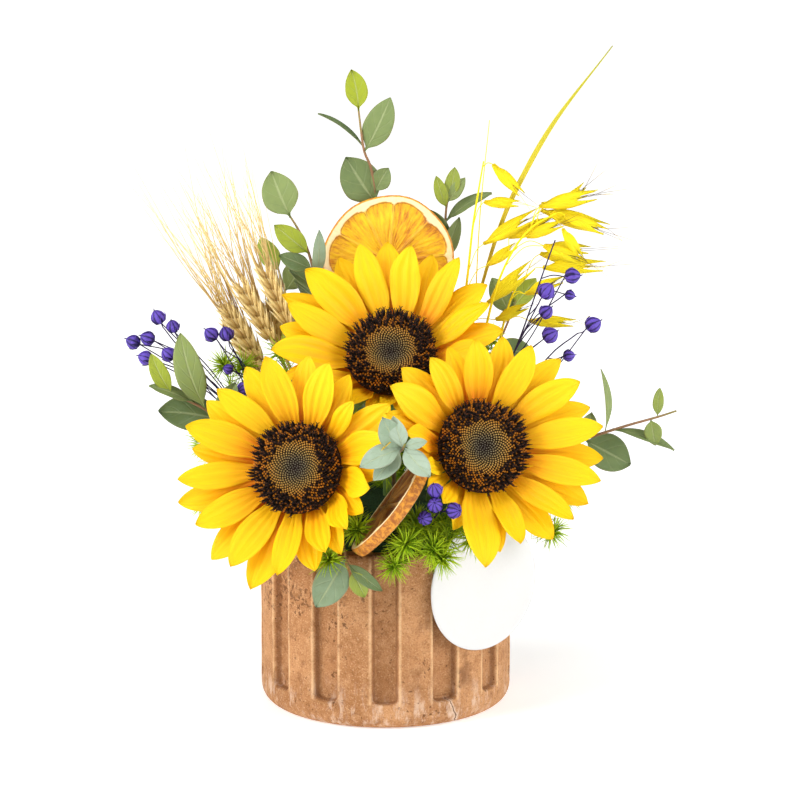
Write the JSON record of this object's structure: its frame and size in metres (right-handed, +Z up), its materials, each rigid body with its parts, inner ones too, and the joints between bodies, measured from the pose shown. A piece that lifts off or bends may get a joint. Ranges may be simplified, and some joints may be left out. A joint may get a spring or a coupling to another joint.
{
  "type": "sunflower arrangement in a fluted pot",
  "caption": "Cut sunflowers with dried orange slices, eucalyptus, wheat, oats, flax and fern, held in floral foam in a fluted clay pot.",
  "frame": {"origin": "middle of the pot's flat base, on the surface that it stands on", "axes": "+Z up, -Y the side that the flowers face, +X to the right seen from that side"},
  "size_m": [0.2598, 0.1679, 0.311],
  "materials": {
    "fluted_clay": "matt cast clay, mottled, with fine pits",
    "dark_film": "thin dark plastic film",
    "wet_foam": "dark green open-cell foam",
    "disc_florets": "dry, rough, near-black brown outside and tan inside",
    "ray_petals": "soft satin petal, yellow with orange at the foot",
    "green_bracts": "finely hairy green",
    "flower_stem": "ridged green stem",
    "dried_orange": "dried fruit, glossy pulp and leathery rind",
    "bamboo": "bare split bamboo",
    "white_card": "smooth uncoated card",
    "dark_wood": "dark stained wood",
    "eucalyptus": "waxy grey-green leaf",
    "dried_wheat": "dry straw",
    "yellow_oats": "dyed dry husk",
    "purple_flax": "dyed dry pod",
    "fern_green": "soft fine needles"
  },
  "bodies": {
    "root": {"card_peg": "dark_wood", "eucalyptus_back_left": "eucalyptus", "eucalyptus_back_right": "eucalyptus", "eucalyptus_centre": "eucalyptus", "eucalyptus_left": "eucalyptus", "eucalyptus_right": "eucalyptus", "eucalyptus_rim": "eucalyptus", "eucalyptus_top": "eucalyptus", "eucalyptus_upper_left": "eucalyptus", "eucalyptus_upper_right": "eucalyptus", "fern_back": "fern_green", "fern_back_left": "fern_green", "fern_back_right": "fern_green", "fern_front": "fern_green", "fern_front_left": "fern_green", "fern_front_right": "fern_green", "fern_left": "fern_green", "fern_right": "fern_green", "fern_rim_left": "fern_green", "fern_rim_right": "fern_green", "fern_side_right": "fern_green", "fern_upper_left": "fern_green", "flax_front": "purple_flax", "flax_left_1": "purple_flax", "flax_left_2": "purple_flax", "flax_left_3": "purple_flax", "flax_right_1": "purple_flax", "flax_right_2": "purple_flax", "floral_foam": "wet_foam", "grass_blade": "yellow_oats", "oats_1": "yellow_oats", "oats_2": "yellow_oats", "oats_3": "yellow_oats", "orange_pick_front": "bamboo", "orange_pick_top": "bamboo", "orange_slice_front": "dried_orange", "orange_slice_top": "dried_orange", "pot": "fluted_clay", "pot_liner": "dark_film", "round_card": "white_card", "sunflower_left_bracts": "green_bracts", "sunflower_left_disc": "disc_florets", "sunflower_left_inner_rays": "ray_petals", "sunflower_left_outer_rays": "ray_petals", "sunflower_left_stem": "flower_stem", "sunflower_right_bracts": "green_bracts", "sunflower_right_disc": "disc_florets", "sunflower_right_inner_rays": "ray_petals", "sunflower_right_outer_rays": "ray_petals", "sunflower_right_stem": "flower_stem", "sunflower_top_bracts": "green_bracts", "sunflower_top_disc": "disc_florets", "sunflower_top_inner_rays": "ray_petals", "sunflower_top_outer_rays": "ray_petals", "sunflower_top_stem": "flower_stem", "wheat_1": "dried_wheat", "wheat_2": "dried_wheat", "wheat_3": "dried_wheat", "wheat_4": "dried_wheat", "wheat_5": "dried_wheat"}
  },
  "joints": []
}
